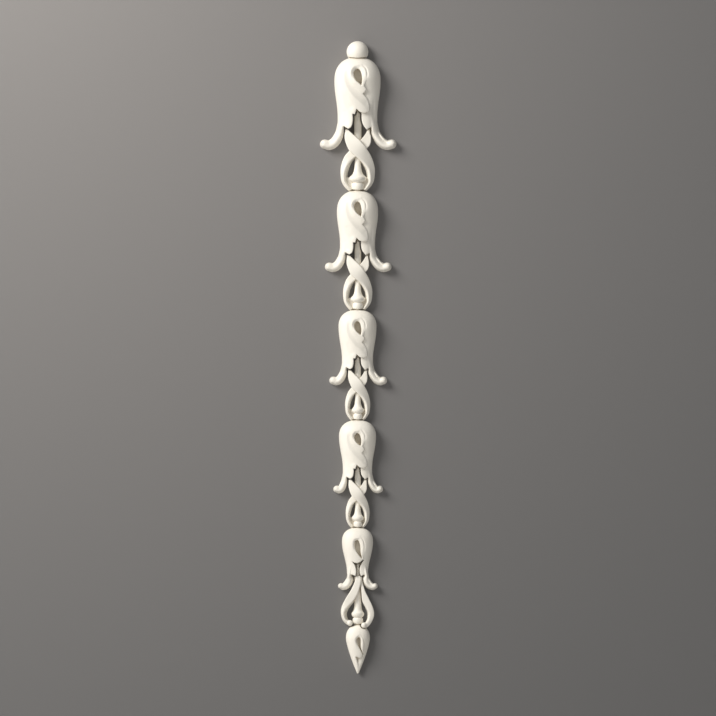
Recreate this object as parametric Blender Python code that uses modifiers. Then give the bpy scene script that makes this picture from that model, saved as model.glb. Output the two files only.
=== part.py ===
"""Carved bell-flower drop: an applique strip made in one piece, with a flat back.

The strip hangs along Z, its front faces -Y and its flat back lies in the plane Y = 0. The
origin is on the back of the third flower, the broad one nearest the middle.
Sizes below are millimetres, heights in an outline are measured down from the top of its
own flower or link, and depths are measured from the back towards the front.
"""
import bpy
import bmesh
import math
from collections import namedtuple
from mathutils import Matrix, Vector

MM = 0.001

# Whole strip: 600 mm from the top of the ball to the point of the bud
TOP_Z = 280.0
FRONT_MARGIN = 2.0
BACK_BOX = (200.0, 100.0, 800.0)
OVERRUN = 32.0

# Ball finial
BALL_RADIUS = 10.3
BALL_DEPTH = 3.8
BALL_SEGMENTS = 16
BALL_RINGS = 10

# Flowers: top is the height on the strip, body and waist are half-widths at heights
# shoulder and waist_z, eye is the keyhole, lobe_end the foot of the overlapping leaf,
# notch and notch_x the root of the flared petal tips, span their reach, knob their end radius
Bell = namedtuple("Bell", "top body shoulder waist waist_z eye_top eye_end lobe_end notch notch_x "
                          "length span knob")
BELLS = (
    Bell(264.8, 21.9, 22.8, 18.8, 56.9, 10.4, 25.6, 52.1, 65.6, 12.9, 87.7, 36.4, 4.6),
    Bell(138.3, 19.5, 20.4, 16.6, 50.2, 10.0, 23.7, 47.6, 58.5, 11.4, 77.1, 31.7, 4.2),
    Bell(25.3, 18.0, 16.1, 14.7, 47.4, 10.4, 23.2, 44.7, 54.5, 10.4, 71.4, 27.5, 3.8),
    Bell(-79.3, 17.5, 15.6, 13.9, 46.0, 11.9, 23.7, 44.7, 53.7, 10.1, 69.4, 24.0, 2.9),
    Bell(-181.2, 14.7, 13.3, 10.0, 42.7, 11.4, 29.4, 33.8, 45.0, 5.5, 59.1, 19.4, 2.8),
)
SHOULDER_POWER = 2.35
DEPTH_RATIO = 0.8
AXIS_DEPTH = 3.0
RIGHT_PETAL_STEP = 4.8
PETAL_SHRINK = 1.02
POINT_RADIUS = 0.1
SEAM_STEP = 0.12
EYE_FLOOR = 8.0
LEAF_BACK = -30.0
PETAL_BACK = -31.0
SKIRT = 4.0
LAST_SKIRT = 3.0
BELL_SEGMENTS = 20
CAP_RINGS = 5
WALL_RINGS = 4

# Flared petal tips: across, share of depth at the root, share in the channelled tip
FLARE_SECTION = ((1.0, None, None), (1.0, 0.2, 0.5), (0.62, 0.6, 0.96), (0.1, 0.82, 0.82),
                 (-0.45, 0.97, 1.0), (-1.0, 1.0, 0.5), (-1.0, None, None))
# Path of a tip from its root: share of the reach, share of the drop, width in knobs, share of the front
FLARE_PATH = ((0.08, 0.455, 0.93, 1.0), (0.356, 0.88, 1.03, 0.92),
              (0.69, 1.07, 1.03, 0.86), (1.0, 1.02, 0.95, 0.84))
FLARE_ROOT_X = 1.8
FLARE_ROOT_Z = -10.0
FLARE_ROOT_WIDTH = 0.85
FLARE_PROUD = 0.4
FLARE_DROP = 1.43
FLARE_TURN = 0.2
FLARE_SHIFT = 0.7
FLARE_FRONT = 10.8
FLARE_FRONT_FIXED = 0.35
KNOB_ANGLES = (0.75, 1.4)
KNOB_OVERLAP = 0.65
KNOB_DEPTH = 0.55
FLARE_BACK = 1.2

# Links: half-width of the ribbon loop, radii of the stem's collar and drum
Link = namedtuple("Link", "loop collar drum")
LINKS = (Link(16.6, 8.3, 6.6), Link(14.1, 6.8, 5.2), Link(12.1, 5.8, 4.5), Link(11.5, 5.6, 4.1))
LYRE = Link(15.9, 6.0, 5.0)
LINK_LENGTH = 61.1
RIBBON_BEVEL = 1.2
RIBBON_BEVEL_SHARE = 0.3
RIBBON_BACK = 1.6
STEM_RADIUS = 3.1
STEM_DEPTH = 3.6
STEM_BACK_STRETCH = 1.4
STEM_SEGMENTS = 10
# Profile of a stem: rod and drum ends as shares of the link's length, the collar's swell by height
STEM_START = -0.29
STEM_SWELL = ((0.0, 0.6), (0.18, 0.70), (0.5, 0.753), (1.0, 0.797), (1.0, 0.824), (0.5, 0.864))
STEM_DRUM = ((0.97, 0.884), (1.0, 0.94), (0.88, 0.99), (0.8, 1.09))

# Pointed bud at the foot
BUD_TOP = -273.6
BUD_LENGTH = 46.4
BUD_RADIUS = 11.4
BUD_SHOULDER = 13.0
BUD_TAPER = 1.4
BUD_MARKS = (11.2, 28.9, 31.0, 40.0)
BUD_STEP_END = 0.92
BUD_STEP_FADE = 0.35

# Outlines are strokes, each a straight run that keeps its corners or a smooth curve
STRAIGHT = "straight"
CURVE = "curve"
CURVE_STEPS = 2

# Outlines of the first flower, x to the right; the others are fitted from them
LEAF = (
    (STRAIGHT, (4.0, -6.0), (-OVERRUN, -6.0), (-OVERRUN, 65.6), (-12.5, 65.6)),
    (CURVE, (-12.5, 65.6), (-10.8, 66.9), (-8.5, 68.1)),
    (CURVE, (-8.5, 68.1), (-5.7, 65.6), (-4.4, 59.5), (-4.7, 53.8)),
    (STRAIGHT, (-4.7, 53.8), (-2.4, 54.3)),
    (CURVE, (-2.4, 54.3), (-1.6, 51.5), (-0.9, 49.0)),
    (CURVE, (-0.9, 49.0), (3.3, 52.5), (8.1, 52.8), (11.4, 51.2)),
    (CURVE, (11.4, 51.2), (11.2, 46.2), (9.5, 40.0), (5.2, 34.8)),
    (CURVE, (5.2, 34.8), (7.2, 33.0), (8.5, 30.7)),
    (STRAIGHT, (8.5, 30.7), (6.3, 27.2)),
    (CURVE, (6.3, 27.2), (8.0, 23.0), (9.2, 17.5), (8.2, 11.5), (4.6, 7.6)),
    (STRAIGHT, (4.6, 7.6), (4.0, -6.0)),
)
RIGHT_PETAL = (
    (STRAIGHT, (-9.0, -6.0), (OVERRUN, -6.0), (OVERRUN, 66.1), (13.1, 66.1)),
    (CURVE, (13.1, 66.1), (11.2, 67.2), (8.8, 68.9)),
    (CURVE, (8.8, 68.9), (5.2, 63.7), (3.9, 57.6), (4.1, 48.0)),
    (STRAIGHT, (4.1, 48.0), (4.1, 45.0), (-9.0, 45.0), (-9.0, -6.0)),
)
EYE = (
    (CURVE, (3.3, 25.7), (-2.1, 21.5), (-4.1, 15.8), (-2.6, 11.9), (0.0, 10.6), (2.9, 12.6),
     (4.6, 18.0), (4.4, 22.0), (3.3, 25.7)),
)

# Outlines of the fifth flower, which has one lobe
SMALL_LEAF = (
    (STRAIGHT, (3.0, -6.0), (-OVERRUN, -6.0), (-OVERRUN, 44.6), (-4.9, 44.6)),
    (CURVE, (-4.9, 44.6), (-3.3, 46.0), (-1.7, 45.0)),
    (CURVE, (-1.7, 45.0), (-1.4, 41.2), (-2.8, 35.6), (-4.4, 32.6)),
    (CURVE, (-4.4, 32.6), (-2.4, 33.6), (0.5, 33.8), (3.3, 32.2), (6.3, 29.4)),
    (STRAIGHT, (6.3, 29.4), (5.4, 28.6)),
    (CURVE, (5.4, 28.6), (6.2, 24.0), (6.6, 17.0), (5.4, 11.5), (3.0, 8.5)),
    (STRAIGHT, (3.0, 8.5), (3.0, -6.0)),
)
SMALL_PETAL = (
    (STRAIGHT, (-7.0, -6.0), (OVERRUN, -6.0), (OVERRUN, 45.4), (5.6, 45.4)),
    (STRAIGHT, (5.6, 45.4), (3.0, 46.0)),
    (CURVE, (3.0, 46.0), (1.9, 42.0), (2.7, 36.4), (5.9, 30.8)),
    (STRAIGHT, (5.9, 30.8), (4.6, 26.0), (-7.0, 26.0), (-7.0, -6.0)),
)
SMALL_EYE = (
    (CURVE, (4.6, 29.0), (1.2, 25.6), (-1.6, 21.7), (-3.0, 16.5), (-2.4, 13.0), (-0.7, 11.6),
     (1.4, 12.6), (2.7, 17.4), (2.9, 23.1), (4.6, 29.0)),
)

# Outlines of the bud
BUD_LEAF = (
    (STRAIGHT, (2.0, -6.0), (-OVERRUN, -6.0), (-OVERRUN, 60.0), (0.9, 60.0), (0.9, 44.0)),
    (CURVE, (0.9, 44.0), (0.8, 39.8), (-0.1, 34.6), (-1.8, 30.1)),
    (CURVE, (-1.8, 30.1), (-0.2, 31.8), (2.0, 32.4), (4.4, 30.6)),
    (CURVE, (4.4, 30.6), (5.6, 26.0), (5.8, 18.0), (4.6, 11.6), (2.0, 8.0)),
    (STRAIGHT, (2.0, 8.0), (2.0, -6.0)),
)
BUD_EYE = (
    (CURVE, (4.7, 28.9), (2.0, 24.2), (-0.2, 19.4), (-1.6, 14.7), (-0.9, 12.2), (0.7, 11.2),
     (2.6, 12.4), (3.3, 15.6), (3.1, 21.8), (4.7, 28.9)),
)

# Ribbons of the first link: outer edge, hole edge, front depth and spread of the hole's wall
Node = namedtuple("Node", "outer inner front wall")
OVER_RIBBON = (
    Node((-11.5, -5.0), (-14.0, -5.0), 9.5, 0.0),
    Node((-9.7, 1.8), (-12.0, 3.6), 10.5, 0.0),
    Node((-4.3, 7.6), (-12.0, 12.5), 12.5, 0.0),
    Node((2.4, 13.7), (-8.2, 22.3), 14.0, 0.0),
    Node((8.2, 20.6), (-2.0, 28.0), 13.6, 0.6),
    Node((13.4, 29.4), (4.4, 33.9), 11.8, 1.4),
    Node((16.4, 40.0), (9.6, 41.5), 10.0, 2.0),
    Node((15.9, 50.2), (10.9, 50.5), 9.0, 2.2),
    Node((9.8, 60.0), (7.4, 58.6), 7.5, 2.2),
    Node((6.5, 63.8), (4.6, 62.0), 6.0, 2.0),
)
UNDER_RIBBON = (
    Node((9.5, -5.0), (13.0, -5.0), 8.0, 0.0),
    Node((8.9, 4.5), (12.6, 5.6), 8.8, 0.0),
    Node((2.6, 13.5), (11.5, 18.2), 10.3, 0.0),
    Node((-7.6, 23.2), (-1.5, 28.3), 10.6, 1.2),
    Node((-12.8, 29.6), (-7.6, 34.2), 10.0, 2.6),
    Node((-15.9, 39.5), (-11.6, 43.2), 9.4, 3.6),
    Node((-15.7, 49.5), (-12.0, 50.8), 8.8, 3.8),
    Node((-10.0, 58.6), (-7.6, 57.4), 7.4, 3.4),
    Node((-6.5, 63.5), (-4.5, 61.6), 6.0, 2.4),
)

# Ribbons of the last link, which part like a lyre and end in small scrolls
LYRE_LEFT = (
    Node((-1.2, -1.6), (3.3, -1.6), 8.6, 0.0),
    Node((-2.1, 4.7), (3.1, 6.6), 9.4, 0.0),
    Node((-6.2, 13.3), (0.3, 16.1), 9.4, 0.4),
    Node((-11.9, 22.3), (-4.3, 23.9), 9.0, 1.6),
    Node((-15.4, 30.3), (-10.2, 30.9), 8.6, 2.4),
    Node((-15.7, 36.5), (-12.6, 36.3), 8.2, 2.8),
    Node((-13.8, 43.1), (-11.6, 41.5), 8.0, 2.4),
    Node((-9.6, 47.2), (-8.6, 43.4), 7.8, 0.8),
    Node((-6.4, 46.8), (-6.0, 43.1), 7.4, 0.2),
    Node((-4.9, 46.0), (-4.8, 44.2), 6.2, 0.0),
)
LYRE_RIGHT = (
    Node((4.4, -2.0), (1.6, -2.0), 7.4, 0.0),
    Node((4.7, 4.7), (1.6, 4.7), 8.0, 0.0),
    Node((7.4, 14.2), (3.0, 14.2), 8.2, 0.0),
    Node((11.4, 21.8), (4.6, 24.4), 8.2, 0.6),
    Node((14.9, 30.3), (8.8, 30.4), 8.2, 1.0),
    Node((15.8, 36.5), (10.7, 36.2), 8.2, 1.4),
    Node((14.2, 43.1), (10.0, 41.4), 8.6, 1.2),
    Node((10.0, 48.9), (8.0, 44.8), 9.4, 0.4),
    Node((5.8, 50.0), (5.8, 45.5), 9.4, 0.0),
    Node((4.2, 48.8), (4.2, 46.8), 8.0, 0.0),
)

COLOUR = (0.88, 0.85, 0.78, 1.0)
ROUGHNESS = 0.55
SHARP_ANGLE = math.radians(35)


# Scene helpers

def clear_scene():
    for obj in list(bpy.data.objects):
        bpy.data.objects.remove(obj, do_unlink=True)


def new_collection(name):
    collection = bpy.data.collections.new(name)
    bpy.context.scene.collection.children.link(collection)
    return collection


def evaluated_mesh(obj):
    bpy.context.view_layer.update()
    depsgraph = bpy.context.evaluated_depsgraph_get()
    return bpy.data.meshes.new_from_object(obj.evaluated_get(depsgraph))


def bake(obj):
    """Keep an object's evaluated mesh and drop its modifiers."""
    mesh = evaluated_mesh(obj)
    obj.modifiers.clear()
    obj.data = mesh


def combine(base, tool, operation, solver='EXACT'):
    modifier = base.modifiers.new(operation.lower(), 'BOOLEAN')
    modifier.operation = operation
    modifier.solver = solver
    modifier.object = tool
    bake(base)
    bpy.data.objects.remove(tool, do_unlink=True)
    return base


def mesh_object(name, verts, faces, edges=()):
    mesh = bpy.data.meshes.new(name)
    mesh.from_pydata([(x * MM, y * MM, z * MM) for x, y, z in verts], list(edges), faces)
    obj = bpy.data.objects.new(name, mesh)
    PARTS.objects.link(obj)
    return obj


def clean(mesh, gap=0.000001):
    """Weld points closer than gap and turn the faces outward."""
    work = bmesh.new()
    work.from_mesh(mesh)
    bmesh.ops.remove_doubles(work, verts=work.verts, dist=gap)
    bmesh.ops.recalc_face_normals(work, faces=work.faces)
    work.to_mesh(mesh)
    work.free()


def flatten(mesh, angle=0.01):
    """Merge faces that lie in one plane."""
    work = bmesh.new()
    work.from_mesh(mesh)
    bmesh.ops.dissolve_limit(work, angle_limit=angle, verts=work.verts, edges=work.edges)
    work.to_mesh(mesh)
    work.free()


# Lines and easing

def smooth(points, steps):
    """Points of a Catmull-Rom curve through the given points, ends included."""
    first = tuple(2 * a - b for a, b in zip(points[0], points[1]))
    last = tuple(2 * a - b for a, b in zip(points[-1], points[-2]))
    guide = [first, *points, last]
    curve = []
    for i in range(len(points) - 1):
        for k in range(steps):
            t = k / steps
            curve.append(tuple(
                b + 0.5 * t * (c - a + t * (2 * a - 5 * b + 4 * c - d + t * (3 * (b - c) + d - a)))
                for a, b, c, d in zip(*guide[i:i + 4])))
    curve.append(tuple(points[-1]))
    return curve


def outline(strokes):
    """The points of a closed outline."""
    points = []
    for kind, *stroke in strokes:
        run = smooth(stroke, CURVE_STEPS) if kind == CURVE else stroke
        points += run[:-1]
    return points


def ease(t):
    t = min(max(t, 0.0), 1.0)
    return t * t * (3 - 2 * t)


def stations(bell):
    return (0.0, bell.eye_top, bell.eye_end, bell.lobe_end, bell.notch, bell.length)


def fitted(points, bell, model):
    """Carry an outline from the model flower to another, as points on the strip."""
    source = stations(model)
    target = stations(bell)
    result = []
    for x, z in points:
        k = max(i for i in range(len(source) - 1) if i == 0 or z >= source[i])
        slope = (target[k + 1] - target[k]) / (source[k + 1] - source[k])
        result.append((x * bell.body / model.body, bell.top - target[k] - (z - source[k]) * slope))
    return result


# Solids

def turned(name, profile, segments):
    """A solid turned round Z from (radius, height) pairs that run from top to bottom."""
    edges = [(i, i + 1) for i in range(len(profile) - 1)]
    obj = mesh_object(name, [(r, 0.0, z) for r, z in profile], [], edges)
    screw = obj.modifiers.new("turn", 'SCREW')
    screw.axis = 'Z'
    screw.angle = 2 * math.pi
    screw.steps = segments
    screw.render_steps = segments
    screw.use_merge_vertices = True
    screw.merge_threshold = 0.00001
    bake(obj)
    clean(obj.data)
    return obj


def prism(name, points, front, back):
    """An outline in the X-Z plane, filled and extruded from depth front to depth back."""
    curve = bpy.data.curves.new(name, 'CURVE')
    curve.dimensions = '2D'
    curve.fill_mode = 'BOTH'
    curve.extrude = 0.5 * (front - back) * MM
    spline = curve.splines.new('POLY')
    spline.points.add(len(points) - 1)
    for point, (x, z) in zip(spline.points, points):
        point.co = (x * MM, z * MM, 0.0, 1.0)
    spline.use_cyclic_u = True
    source = bpy.data.objects.new(name, curve)
    PARTS.objects.link(source)
    mesh = evaluated_mesh(source)
    bpy.data.objects.remove(source, do_unlink=True)
    clean(mesh)
    obj = bpy.data.objects.new(name, mesh)
    obj.rotation_euler = (0.5 * math.pi, 0.0, 0.0)
    obj.location = (0.0, -0.5 * (front + back) * MM, 0.0)
    PARTS.objects.link(obj)
    return obj


def loft(name, rings):
    """A closed skin over rings of equal count, with a face across each end."""
    count = len(rings[0])
    verts = [point for ring in rings for point in ring]
    faces = [tuple(range(count)), tuple(range(len(verts) - count, len(verts)))]
    for row in range(len(rings) - 1):
        for k in range(count):
            a = row * count + k
            b = row * count + (k + 1) % count
            faces.append((a, b, b + count, a + count))
    obj = mesh_object(name, verts, faces)
    clean(obj.data)
    return obj


# Flowers

def bell_radius(bell, z):
    if z < bell.shoulder:
        rise = 1 - ((bell.shoulder - z) / bell.shoulder) ** SHOULDER_POWER
        return bell.body * rise ** (1 / SHOULDER_POWER)
    turn = min((z - bell.shoulder) / (bell.waist_z - bell.shoulder), 1.0)
    return bell.waist + (bell.body - bell.waist) * 0.5 * (1 + math.cos(math.pi * turn))


def bud_radius(bell, z):
    if z < bell.shoulder:
        return bell_radius(bell, z)
    return max(bell.body * (1 - ((z - bell.shoulder) / (bell.length - bell.shoulder)) ** BUD_TAPER), 0.0)


def dome(name, bell, radius, end, lowered):
    """The flower's blank; the lowered one keeps the right-hand edge and sinks to its left."""
    heights = [bell.shoulder * (1 - math.cos(0.5 * math.pi * k / CAP_RINGS)) for k in range(1, CAP_RINGS + 1)]
    heights += [bell.shoulder + (end - bell.shoulder) * k / WALL_RINGS for k in range(1, WALL_RINGS + 1)]
    step_size = RIGHT_PETAL_STEP * bell.body / BELLS[0].body

    def step(z):
        fade = ease(z / bell.shoulder)
        if bell.waist == 0:
            fade *= 1 - ease((z / bell.length - BUD_STEP_END) / BUD_STEP_FADE + 1)
        return lowered * (SEAM_STEP + step_size * fade)

    profile = []
    for z in heights:
        height = bell.top - min(z + lowered * SEAM_STEP, end)
        profile.append((max(radius(bell, z) - PETAL_SHRINK * step(z), POINT_RADIUS), height))
    profile = [(0.0, bell.top - lowered * SEAM_STEP), *profile, (0.0, bell.top - end)]
    obj = turned(name, profile, BELL_SEGMENTS)
    for vertex in obj.data.vertices:
        shift = step(bell.top - vertex.co.z / MM)
        vertex.co.x += shift * MM
        vertex.co.y = vertex.co.y * DEPTH_RATIO - AXIS_DEPTH * MM
    return obj


def flower(name, bell, model, leaf, petal, eye, radius, end):
    front = AXIS_DEPTH + DEPTH_RATIO * bell.body + FRONT_MARGIN
    left = dome(name, bell, radius, end, 0)
    combine(left, prism("leaf", fitted(outline(leaf), bell, model), front, LEAF_BACK), 'INTERSECT')
    right = dome("right", bell, radius, end, 1)
    if petal:
        combine(right, prism("petal", fitted(outline(petal), bell, model), front, PETAL_BACK), 'INTERSECT')
    combine(left, right, 'UNION')
    hollow = prism("eye", fitted(outline(eye), bell, model), front + 1, EYE_FLOOR)
    return combine(left, hollow, 'DIFFERENCE')


def flare(name, bell, side):
    """A petal tip that sweeps out from the notch and curls up into a knob."""
    ratio = bell.body / BELLS[0].body
    root_width = 0.5 * (bell.waist - bell.notch_x) + FLARE_PROUD
    root = bell.notch_x + root_width
    reach = bell.span - bell.knob - root
    drop = bell.length - FLARE_DROP * bell.knob - bell.notch
    sunk = RIGHT_PETAL_STEP * ratio if side > 0 else 0.0
    root_half = math.sqrt((bell.waist - sunk) ** 2 - (bell.notch_x - sunk) ** 2)
    root_front = AXIS_DEPTH + DEPTH_RATIO * root_half
    tip_front = FLARE_FRONT * (FLARE_FRONT_FIXED + (1 - FLARE_FRONT_FIXED) * ratio)
    nodes = [(root - FLARE_ROOT_X, FLARE_ROOT_Z, FLARE_ROOT_WIDTH * root_width, root_front, 0.0),
             (root, 0.3, root_width, root_front, 0.0)]
    for fx, fz, width, lift in FLARE_PATH:
        nodes.append((root + fx * reach, fz * drop, width * bell.knob, lift * tip_front, min(1.0, 2 * fx)))
    path = smooth(nodes, CURVE_STEPS)
    rings = []
    for i, (x, z, width, front, tip) in enumerate(path):
        before = path[max(i - 1, 0)]
        after = path[min(i + 1, len(path) - 1)]
        heading = math.atan2(after[1] - before[1], after[0] - before[0])
        rings.append(flare_ring(bell, side, x, z, width, front, tip, heading))
    for angle in KNOB_ANGLES:
        heading -= FLARE_TURN / len(KNOB_ANGLES)
        advance = width * (math.sin(angle) - math.sin(angle - KNOB_OVERLAP))
        x += advance * math.cos(heading)
        z += advance * math.sin(heading)
        shrink = math.cos(angle)
        depth = front * (KNOB_DEPTH + (1 - KNOB_DEPTH) * shrink)
        rings.append(flare_ring(bell, side, x, z, width * shrink, depth, 1.0, heading))
    return loft(name, rings)


def flare_ring(bell, side, x, z, width, front, tip, heading):
    across = (math.sin(heading), -math.cos(heading))
    shift = FLARE_SHIFT * ease(tip)
    ring = []
    for u, root_share, tip_share in FLARE_SECTION:
        depth = -FLARE_BACK
        if root_share is not None:
            depth = front * (root_share + (tip_share - root_share) * ease(tip))
        ring.append((side * (x + u * width * across[0]) + shift, -depth,
                     bell.top - bell.notch - z - u * width * across[1]))
    return ring


# Links

def ribbon(name, nodes, top, width_ratio, length_ratio, depth_ratio):
    """A flat band through pairs of edge points, with a sloping wall on the hole's side."""
    rows = [(*node.outer, *node.inner, node.front, node.wall) for node in nodes]
    rings = []
    for ox, oz, ix, iz, front, wall in smooth(rows, CURVE_STEPS):
        ox, ix, wall = ox * width_ratio, ix * width_ratio, wall * width_ratio
        oz, iz, front = oz * length_ratio, iz * length_ratio, front * depth_ratio
        width = math.hypot(ox - ix, oz - iz)
        bevel = min(RIBBON_BEVEL, RIBBON_BEVEL_SHARE * width)
        section = ((0.0, -RIBBON_BACK), (0.0, front - bevel), (bevel, front),
                   (width - bevel, front), (width, front - bevel), (width + wall, -RIBBON_BACK))
        ring = []
        for across, depth in section:
            share = across / width
            ring.append((ox + (ix - ox) * share, -depth, top - oz - (iz - oz) * share))
        rings.append(ring)
    return loft(name, rings)


def stem(name, link, top, length):
    """The turned stem: a rod that swells into a collar, a neck and a drum."""
    swell = link.collar - STEM_RADIUS
    profile = [(0.0, STEM_START), (STEM_RADIUS, STEM_START)]
    profile += [(STEM_RADIUS + swell * share, z) for share, z in STEM_SWELL]
    profile += [(link.drum * share, z) for share, z in STEM_DRUM]
    profile.append((0.0, STEM_DRUM[-1][1]))
    obj = turned(name, [(r, top - z * length) for r, z in profile], STEM_SEGMENTS)
    for vertex in obj.data.vertices:
        stretch = STEM_BACK_STRETCH if vertex.co.y > 0 else 1.0
        vertex.co.y = vertex.co.y * stretch - STEM_DEPTH * MM
    return obj


def link_solids(bell, link, length, nodes_over, nodes_under, width_ratio, length_ratio):
    top = bell.top - bell.notch
    depth_ratio = 0.5 + 0.5 * width_ratio
    return [stem("stem", link, top, length),
            ribbon("under", nodes_under, top, width_ratio, length_ratio, depth_ratio),
            ribbon("over", nodes_over, top, width_ratio, length_ratio, depth_ratio)]


def ball():
    bpy.ops.mesh.primitive_uv_sphere_add(segments=BALL_SEGMENTS, ring_count=BALL_RINGS, radius=BALL_RADIUS * MM)
    obj = bpy.context.active_object
    for collection in list(obj.users_collection):
        collection.objects.unlink(obj)
    PARTS.objects.link(obj)
    obj.data.transform(Matrix.Translation(Vector((0.0, -BALL_DEPTH, TOP_Z - BALL_RADIUS)) * MM))
    return obj


def back_cutter():
    """A box behind the plane Y = 0."""
    bpy.ops.mesh.primitive_cube_add(size=1.0)
    box = bpy.context.active_object
    box.scale = Vector(BACK_BOX) * MM
    box.location = (0.0, 0.5 * BACK_BOX[1] * MM, 0.0)
    return box


def finish(strip):
    material = bpy.data.materials.new("matt_cream")
    material.use_nodes = True
    shader = material.node_tree.nodes["Principled BSDF"]
    shader.inputs["Base Color"].default_value = COLOUR
    shader.inputs["Roughness"].default_value = ROUGHNESS
    shader.inputs["Metallic"].default_value = 0.0
    strip.data.materials.clear()
    strip.data.materials.append(material)
    strip.data.shade_smooth()
    strip.data.set_sharp_from_angle(angle=SHARP_ANGLE)


def build():
    first = BELLS[0]
    last = BELLS[-1]
    bud = Bell(BUD_TOP, BUD_RADIUS, BUD_SHOULDER, 0, 0, *BUD_MARKS, 0, BUD_LENGTH, 0, 0)
    strip = flower("applique_strip", first, first, LEAF, RIGHT_PETAL, EYE, bell_radius, first.notch + SKIRT)
    solids = [ball()]
    for bell in BELLS[1:-1]:
        solids.append(flower("bell", bell, first, LEAF, RIGHT_PETAL, EYE, bell_radius, bell.notch + SKIRT))
    solids.append(flower("bell", last, last, SMALL_LEAF, SMALL_PETAL, SMALL_EYE, bell_radius,
                         last.notch + LAST_SKIRT))
    solids.append(flower("bud", bud, bud, BUD_LEAF, None, BUD_EYE, bud_radius, bud.length))
    for bell in BELLS:
        solids += [flare("flare", bell, side) for side in (-1, 1)]
    for bell, link, below in zip(BELLS, LINKS, BELLS[1:]):
        length = bell.top - bell.notch - below.top
        solids += link_solids(bell, link, length, OVER_RIBBON, UNDER_RIBBON,
                              link.loop / LINKS[0].loop, length / LINK_LENGTH)
    solids += link_solids(last, LYRE, last.top - last.notch - BUD_TOP, LYRE_LEFT, LYRE_RIGHT, 1.0, 1.0)
    for solid in solids:
        combine(strip, solid, 'UNION')
    combine(strip, back_cutter(), 'DIFFERENCE', 'MANIFOLD')
    flatten(strip.data)
    return strip


clear_scene()
PARTS = new_collection("decorative_applique_strip")
finish(build())
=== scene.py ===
"""Carved bell-flower drop: its fine surface, cream paint, studio and camera.

The strip is held as a signed distance on a block of points, negative inside the solid, in
which petals, ribbons and turned parts are joined with small fillets. The skin of the block
is then meshed, smoothed and thinned. Lengths are millimetres until the mesh is made: x is
to the right, t is the depth in front of the back, and heights in an outline are measured
down from the top of its own flower or link.
"""

import math
from collections import namedtuple

import bpy
import numpy as np
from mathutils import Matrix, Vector


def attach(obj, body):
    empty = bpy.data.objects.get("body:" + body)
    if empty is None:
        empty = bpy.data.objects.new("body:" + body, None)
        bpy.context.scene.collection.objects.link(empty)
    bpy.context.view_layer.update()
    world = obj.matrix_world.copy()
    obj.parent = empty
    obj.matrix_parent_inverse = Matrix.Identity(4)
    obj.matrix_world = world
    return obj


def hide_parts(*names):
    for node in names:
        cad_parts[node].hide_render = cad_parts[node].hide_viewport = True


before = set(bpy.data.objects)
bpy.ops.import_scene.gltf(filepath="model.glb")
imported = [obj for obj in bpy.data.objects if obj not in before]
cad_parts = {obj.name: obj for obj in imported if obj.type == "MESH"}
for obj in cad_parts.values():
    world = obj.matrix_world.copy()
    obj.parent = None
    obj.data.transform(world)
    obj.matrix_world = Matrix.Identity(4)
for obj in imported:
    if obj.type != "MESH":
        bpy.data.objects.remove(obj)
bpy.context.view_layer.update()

MM = 0.001

# Block of points: its step, the distance that it starts from, and the room left round a form
STEP = 0.42
FAR = 9.0
MARGIN = 2.0
WIDE_MARGIN = 3.0
X_AXIS = np.arange(-39.0, 40.0, STEP, dtype=np.float32)
T_AXIS = np.arange(-1.5, 22.5, STEP, dtype=np.float32)
Z_AXIS = np.arange(-323.0, 283.0, STEP, dtype=np.float32)
ORIGIN = np.array([X_AXIS[0], T_AXIS[0], Z_AXIS[0]])

# Skin of the block: how it is smoothed and thinned, and how far the test for recesses reaches, which sets
# the painted shade in them
RELAX_ROUNDS = 1
RELAX_SHARE = 0.5
TRIANGLES = 186000
PAINTED_SHADE_RADIUS = 3.0

# Whole strip: its top, how far an outline runs past it, the fillet where forms meet, and the
# rounding of a leaf's edge, of a right petal's edge and of a flower's lower end
TOP_Z = 280.0
OVERRUN = 32.0
SEAM = 0.35
EDGE = 0.5
PETAL_EDGE = 0.8
END_EDGE = 1.0

# Ball finial
BALL_RADIUS = 10.3
BALL_DEPTH = 3.8

# Flowers: top is the height on the strip, body and waist are half-widths at heights
# shoulder and waist_z, eye is the keyhole, lobe_end the foot of the overlapping leaf,
# notch and notch_x the root of the flared petal tips, span their reach, knob their end radius
Bell = namedtuple("Bell", "top body shoulder waist waist_z eye_top eye_end lobe_end notch notch_x "
                          "length span knob")
BELLS = (
    Bell(264.8, 21.9, 22.8, 18.8, 56.9, 10.4, 25.6, 52.1, 65.6, 12.9, 87.7, 36.4, 4.6),
    Bell(138.3, 19.5, 20.4, 16.6, 50.2, 10.0, 23.7, 47.6, 58.5, 11.4, 77.1, 31.7, 4.2),
    Bell(25.3, 18.0, 16.1, 14.7, 47.4, 10.4, 23.2, 44.7, 54.5, 10.4, 71.4, 27.5, 3.8),
    Bell(-79.3, 17.5, 15.6, 13.9, 46.0, 11.9, 23.7, 44.7, 53.7, 10.1, 69.3, 23.7, 3.4),
    Bell(-181.2, 14.7, 13.3, 10.0, 42.7, 11.4, 29.4, 33.8, 45.0, 3.4, 59.1, 19.4, 2.8),
)

# Turned body: powers of its cap and of its section, flattening, and depth of its axis
SHOULDER_POWER = 2.35
SECTION_POWER = 2.2
DEPTH_RATIO = 0.8
AXIS_DEPTH = 3.0
# How far a body goes on below the notch, hidden by the petal tips
SKIRT = 4.0
LAST_SKIRT = 3.0

# A fade is its start and its run, mostly in shares of a height. The right petal of the first
# flower steps down under the leaf by this depth, and shows only a seam higher up
RIGHT_PETAL_STEP = 4.8
SEAM_STEP = 0.12
PETAL_STEP = (0.75, 0.7)

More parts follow.
